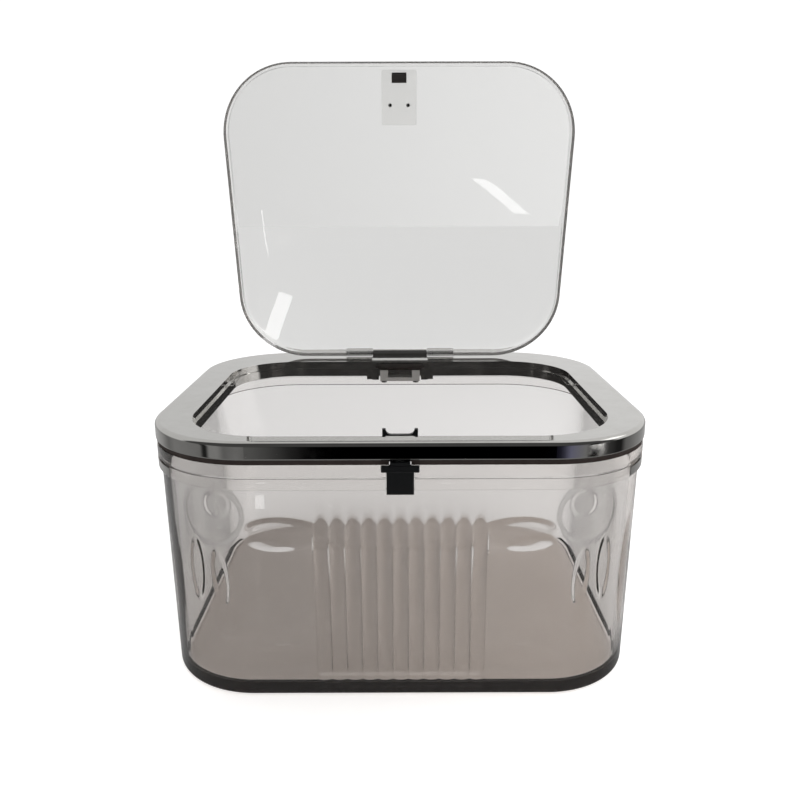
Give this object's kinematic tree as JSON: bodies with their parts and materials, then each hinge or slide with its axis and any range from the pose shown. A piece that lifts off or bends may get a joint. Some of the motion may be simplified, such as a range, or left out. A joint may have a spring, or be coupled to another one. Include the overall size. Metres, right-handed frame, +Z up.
{
  "type": "storage box with lid",
  "caption": "Clear rounded storage box with a chrome rim, a sprung flip-up lid on a rear hinge, a front push-button latch and a fluted front panel.",
  "frame": {"origin": "centre of the underside, on the surface that the box stands on", "axes": "+Z up, -Y towards the front with the latch, +X to the right seen from the front"},
  "size_m": [0.25, 0.2138, 0.3181],
  "materials": {
    "smoke_clear": "clear, smoky grey, polished",
    "chrome_trim": "bright chrome",
    "seal_rubber": "matt",
    "black_plastic": "satin black",
    "dark_plastic": "matt dark",
    "grey_plastic": "satin light grey",
    "steel": "plain"
  },
  "bodies": {
    "box": {"tub": "smoke_clear", "rim": "chrome_trim", "rim_seal": "seal_rubber", "side_clip_left": "chrome_trim", "side_clip_right": "chrome_trim", "hinge_bracket": "chrome_trim", "spring_barrel": "dark_plastic", "hinge_clamp": "grey_plastic", "clamp_screws": "steel", "hinge_pin": "steel", "latch_pin": "steel"},
    "lid": {"lid": "smoke_clear", "catch_plate": "smoke_clear", "catch_tongue": "dark_plastic", "catch_pins": "steel"},
    "latch": {"latch_lever": "black_plastic", "latch_spring": "steel"}
  },
  "joints": [
    {"name": "lid_hinge", "type": "hinge", "parent": "box", "child": "lid", "pos_m": [0, 0.0885, 0.1365], "axis": [1, 0, 0], "range_deg": [0, 77.5], "stiffness_Nm_per_rad": 0.08, "springref_deg": -42.97},
    {"name": "latch_press", "type": "hinge", "parent": "box", "child": "latch", "pos_m": [0, -0.1022, 0.1214], "axis": [1, 0, 0], "range_deg": [0, 7.5], "stiffness_Nm_per_rad": 0.25, "springref_deg": -5.73}
  ]
}
